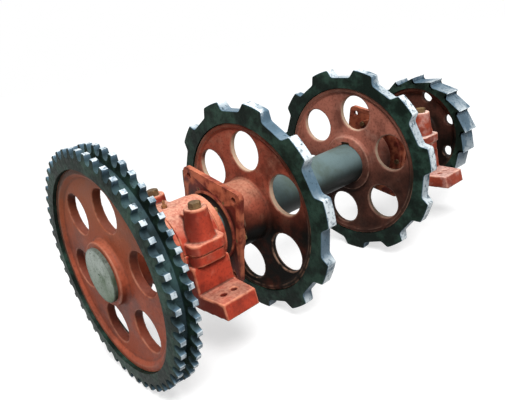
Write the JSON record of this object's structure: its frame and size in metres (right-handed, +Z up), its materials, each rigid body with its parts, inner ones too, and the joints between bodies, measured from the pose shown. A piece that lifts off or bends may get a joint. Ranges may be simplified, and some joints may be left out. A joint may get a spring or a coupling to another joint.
{
  "type": "elevator head shaft with chain wheels",
  "caption": "Head shaft of a bucket elevator: chain wheels on a shaft in split bearing blocks, with a two-row drive sprocket, seal plates and a ratchet wheel.",
  "frame": {"origin": "centre of the drive side block's four foot holes, on the plane of the feet", "axes": "+Y along the shaft from the drive sprocket to the ratchet wheel, +Z up from the feet, X across the blocks"},
  "size_m": [0.5317, 1.1962, 0.5284],
  "materials": {
    "red_primer": "dull red oxide primer, worn",
    "plate_primer": "dull red oxide primer",
    "orange_primer": "orange-red primer on rough casting",
    "toothed_steel": "dark scale, rubbed bright on the teeth",
    "turned_steel": "turned, dull grey",
    "fastener_steel": "plain steel",
    "bearing_steel": "ground",
    "cage_brass": "machined",
    "felt": "greasy felt",
    "nipple_brass": "dull"
  },
  "bodies": {
    "blocks": {"drive_side_block_base": "orange_primer", "drive_side_block_cap": "orange_primer", "drive_side_outer_cover": "orange_primer", "drive_side_inner_cover": "orange_primer", "ratchet_side_block_base": "orange_primer", "ratchet_side_block_cap": "orange_primer", "ratchet_side_outer_cover": "orange_primer", "ratchet_side_inner_cover": "orange_primer", "drive_side_outer_ring": "bearing_steel", "drive_side_outer_felt": "felt", "drive_side_inner_felt": "felt", "drive_side_grease_nipple": "nipple_brass", "ratchet_side_outer_ring": "bearing_steel", "ratchet_side_outer_felt": "felt", "ratchet_side_inner_felt": "felt", "ratchet_side_grease_nipple": "nipple_brass", "block_cap_bolts": "fastener_steel", "block_cap_washers": "fastener_steel", "block_dowels": "fastener_steel", "cover_screws": "fastener_steel"},
    "rotor": {"shaft": "turned_steel", "drive_sprocket_centre": "red_primer", "drive_side_wheel_centre": "red_primer", "ratchet_side_wheel_centre": "red_primer", "ratchet_centre": "red_primer", "drive_sprocket_rim": "toothed_steel", "drive_side_chain_rim": "toothed_steel", "ratchet_side_chain_rim": "toothed_steel", "ratchet_rim": "toothed_steel", "drive_key": "fastener_steel", "ratchet_key": "fastener_steel", "drive_side_wheel_key": "fastener_steel", "ratchet_side_wheel_key": "fastener_steel", "drive_end_plate": "turned_steel", "drive_end_screw": "fastener_steel", "ratchet_end_plate": "turned_steel", "ratchet_end_screw": "fastener_steel", "wheel_set_screws": "fastener_steel", "drive_side_inner_ring": "bearing_steel", "drive_side_lock_nut": "bearing_steel", "drive_side_lock_washer": "bearing_steel", "ratchet_side_inner_ring": "bearing_steel", "ratchet_side_lock_nut": "bearing_steel", "ratchet_side_lock_washer": "bearing_steel"},
    "drive_side_cage_set": {"drive_side_cage": "cage_brass", "drive_side_rollers": "bearing_steel"},
    "drive_side_seal": {"drive_side_seal_plate": "plate_primer", "drive_side_seal_felt": "felt", "drive_side_seal_gland": "plate_primer", "drive_side_gland_screws": "fastener_steel"},
    "ratchet_side_cage_set": {"ratchet_side_cage": "cage_brass", "ratchet_side_rollers": "bearing_steel"},
    "ratchet_side_seal": {"ratchet_side_seal_plate": "plate_primer", "ratchet_side_seal_felt": "felt", "ratchet_side_seal_gland": "plate_primer", "ratchet_side_gland_screws": "fastener_steel"}
  },
  "joints": [
    {"name": "shaft_spin", "type": "hinge", "parent": "blocks", "child": "rotor", "pos_m": [0, 0, 0.12], "axis": [0, 1, 0], "continuous": true},
    {"name": "drive_side_cage_spin", "type": "hinge", "parent": "blocks", "child": "drive_side_cage_set", "pos_m": [0, 0, 0.12], "axis": [0, 1, 0], "continuous": true},
    {"name": "ratchet_side_cage_spin", "type": "hinge", "parent": "blocks", "child": "ratchet_side_cage_set", "pos_m": [0, 0, 0.12], "axis": [0, 1, 0], "continuous": true},
    {"name": "drive_side_seal_turn", "type": "hinge", "parent": "blocks", "child": "drive_side_seal", "pos_m": [0, 0, 0.12], "axis": [0, 1, 0], "continuous": true},
    {"name": "ratchet_side_seal_turn", "type": "hinge", "parent": "blocks", "child": "ratchet_side_seal", "pos_m": [0, 0, 0.12], "axis": [0, 1, 0], "continuous": true}
  ],
  "couplings": [
    {"joint": "drive_side_cage_spin", "follows": "shaft_spin", "ratio": 0.4319},
    {"joint": "ratchet_side_cage_spin", "follows": "shaft_spin", "ratio": 0.4319}
  ]
}
